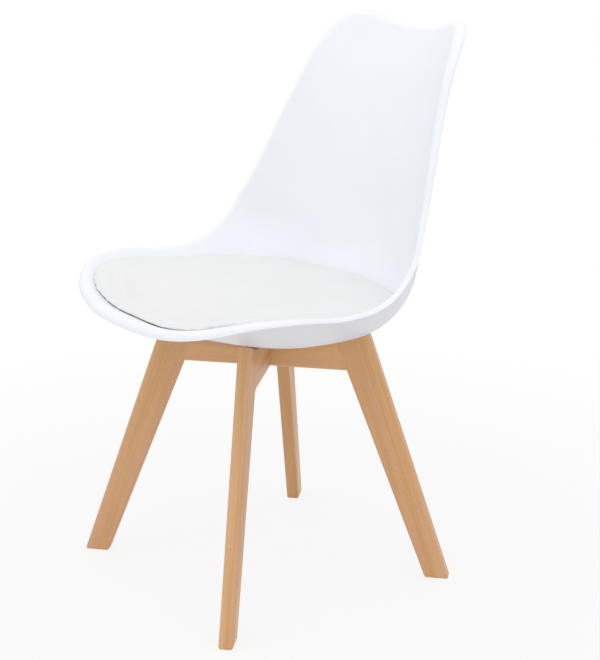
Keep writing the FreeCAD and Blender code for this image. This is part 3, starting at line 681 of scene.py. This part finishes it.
def blow_up(form, settings):
    """Swell the padding with air pressure and cap how far each point moves."""
    before = [vertex.co.copy() for vertex in form.data.vertices]
    cloth = form.modifiers.new("swell", "CLOTH")
    cloth.settings.quality = 6
    cloth.settings.mass = 0.3
    cloth.settings.use_pressure = True
    cloth.settings.uniform_pressure_force = settings.pressure
    cloth.settings.effector_weights.gravity = 0
    cloth.settings.vertex_group_mass = HELD
    cloth.point_cache.frame_start, cloth.point_cache.frame_end = 1, settings.frames
    for frame_number in range(1, settings.frames + 1):
        bpy.context.scene.frame_set(frame_number)
    apply_modifiers(form)
    bpy.context.scene.frame_set(1)
    for vertex, start in zip(form.data.vertices, before):
        move = vertex.co - start
        if move.length > settings.swell_limit:
            vertex.co = start + move.normalized() * settings.swell_limit


def crease(point):
    """Share of the full crease depth at a point of the cover."""
    depth = 0
    for start, end, width, share in CREASES:
        a, b = Vector(start), Vector(end)
        along = min(max((point.xy - a).dot(b - a) / (b - a).length_squared, 0), 1)
        pinch = CREASE_PINCH * math.sin(math.pi * along)
        away = (point.xy - a.lerp(b, along)).length + pinch
        fade = math.sin(math.pi * (CREASE_END + (1 - 2 * CREASE_END) * along))
        depth += share * fade * math.exp(-(away / width) ** 2)
    return min(depth, 1)


def crease_top(cushion, settings):
    """Press the creases and the slow unevenness of the padding into the top of the cover."""
    for vertex, rise in zip(cushion.data.vertices, rises(cushion)):
        facing_up = smooth_step(rise, *CREASED_FACING)
        if facing_up > 0:
            uneven = noise.noise(vertex.co * DIPS_PER_METRE) * settings.ripple
            vertex.co.z += facing_up * (uneven - crease(vertex.co) * settings.crease_depth)


def tailor(cushion, settings):
    """Draw the cover's edge and underside to their sewn outline and round the edge over."""
    foam_surface = node_surface("cushion_foam")
    skin = node_surface("cushion_cover", lambda centre: foam_surface.find_nearest(centre)[3] > SKIN_APART)
    board = node_surface("cushion_board")
    for vertex in cushion.data.vertices:
        free = 1 - vertex.groups[0].weight if vertex.groups else 1
        on_skin, _, _, away = skin.find_nearest(vertex.co, settings.swell_limit)
        in_recess = board.find_nearest(vertex.co, RECESS_REACH)[3] is not None
        if away is not None and not in_recess:
            vertex.co = on_skin.lerp(vertex.co, free)
    rounded = cushion.modifiers.new("rounded edge", "SMOOTH")
    rounded.factor, rounded.iterations, rounded.vertex_group = 0.5, settings.edge_softness, HELD
    apply_modifiers(cushion)


def sector_place(out):
    """Where a way out from the middle points, counted in sectors round the cushion."""
    return (math.atan2(out.y, out.x) / (2 * math.pi) + 0.5) * SECTORS


def outline_reach(cushion, middle):
    """How far the cushion reaches from its middle in each sector, evened out between neighbours."""
    reach = [0.0] * SECTORS
    for vertex in cushion.data.vertices:
        out = vertex.co.xy - middle
        sector = int(sector_place(out)) % SECTORS
        reach[sector] = max(reach[sector], out.length)
    for _ in range(EVENING_ROUNDS):
        reach = [(reach[i - 1] + 2 * reach[i] + reach[(i + 1) % SECTORS]) / 4 for i in range(SECTORS)]
    return reach


def reach_towards(reach, out):
    """The outline's reach along a way out from the middle, between the middles of two sectors."""
    turn = sector_place(out) - 0.5
    low = math.floor(turn)
    before, after = reach[low % SECTORS], reach[(low + 1) % SECTORS]
    return before + (after - before) * (turn - low)


def fill_front(cushion, shell, settings):
    """Let the cover bulge outwards over the front of the bowl, as high above the shell as before."""
    lowest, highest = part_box("cushion_cover")
    middle = Vector((0, (lowest.y + highest.y) / 2))
    reach = outline_reach(cushion, middle)
    for vertex in cushion.data.vertices:
        out = vertex.co.xy - middle
        push = settings.front_fullness * smooth_step(-out.y / max(out.length, LEAST_WAY), *FORWARD_SPAN)
        push *= smooth_step(out.length / reach_towards(reach, out), *OUTWARD_SPAN)
        if push > 0:
            moved = vertex.co.xy + out.normalized() * push
            vertex.co.z += bowl_height(shell, moved) - bowl_height(shell, vertex.co.xy)
            vertex.co.xy = moved


def bowl_height(shell, spot):
    """Height of the bowl's inner face at a spot of the plan."""
    return shell.ray_cast(Vector((spot.x, spot.y, OVER_CHAIR)), Vector((0, 0, -1)))[0].z


class CHAIR_OT_cushion(bpy.types.Operator):
    """Blow up the padded cushion and cover it in leatherette"""
    bl_idname = "chair.cushion"
    bl_label = "Cushion"

    def execute(self, context):
        settings = context.scene.shell_chair.cushion
        shell = node_surface("seat_shell")
        cushion = padded_form(settings, shell)
        blow_up(cushion, settings)
        cushion.modifiers.new("soft", "SUBSURF").levels = 1
        apply_modifiers(cushion)
        tailor(cushion, settings)
        fill_front(cushion, shell, settings)
        crease_top(cushion, settings)
        cushion.data.materials.clear()
        cushion.data.materials.append(leatherette(settings))
        cushion.data.polygons.foreach_set("use_smooth", [True] * len(cushion.data.polygons))
        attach(cushion, "root")
        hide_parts("cushion_cover", "cushion_foam")
        return {"FINISHED"}


# Panel and registration

STEPS = (CHAIR_OT_camera, CHAIR_OT_stage, CHAIR_OT_shell, CHAIR_OT_cushion, CHAIR_OT_frame,
         CHAIR_OT_fixings)


class CHAIR_PT_panel(bpy.types.Panel):
    """Sizes, colours and steps of the chair"""
    bl_idname = "CHAIR_PT_panel"
    bl_label = "Shell Chair"
    bl_space_type = "VIEW_3D"
    bl_region_type = "UI"
    bl_category = "Shell Chair"

    def draw(self, context):
        chair = context.scene.shell_chair
        for title, group in (("Camera", chair.camera), ("Stage", chair.stage), ("Shell", chair.shell),
                             ("Cushion", chair.cushion), ("Wood", chair.wood)):
            part = self.layout.box()
            part.label(text=title)
            for name in type(group).__annotations__:
                part.prop(group, name)
        for step in STEPS:
            self.layout.operator(step.bl_idname)


CLASSES = (CameraSettings, StageSettings, ShellSettings, CushionSettings, WoodSettings,
           ChairSettings) + STEPS + (CHAIR_PT_panel,)


def register():
    for cls in CLASSES:
        bpy.utils.register_class(cls)
    bpy.types.Scene.shell_chair = PointerProperty(type=ChairSettings)


def unregister():
    del bpy.types.Scene.shell_chair
    for cls in reversed(CLASSES):
        bpy.utils.unregister_class(cls)


def main():
    register()
    for step in STEPS:
        area, name = step.bl_idname.split(".")
        getattr(getattr(bpy.ops, area), name)()


if __name__ == "__main__":
    main()
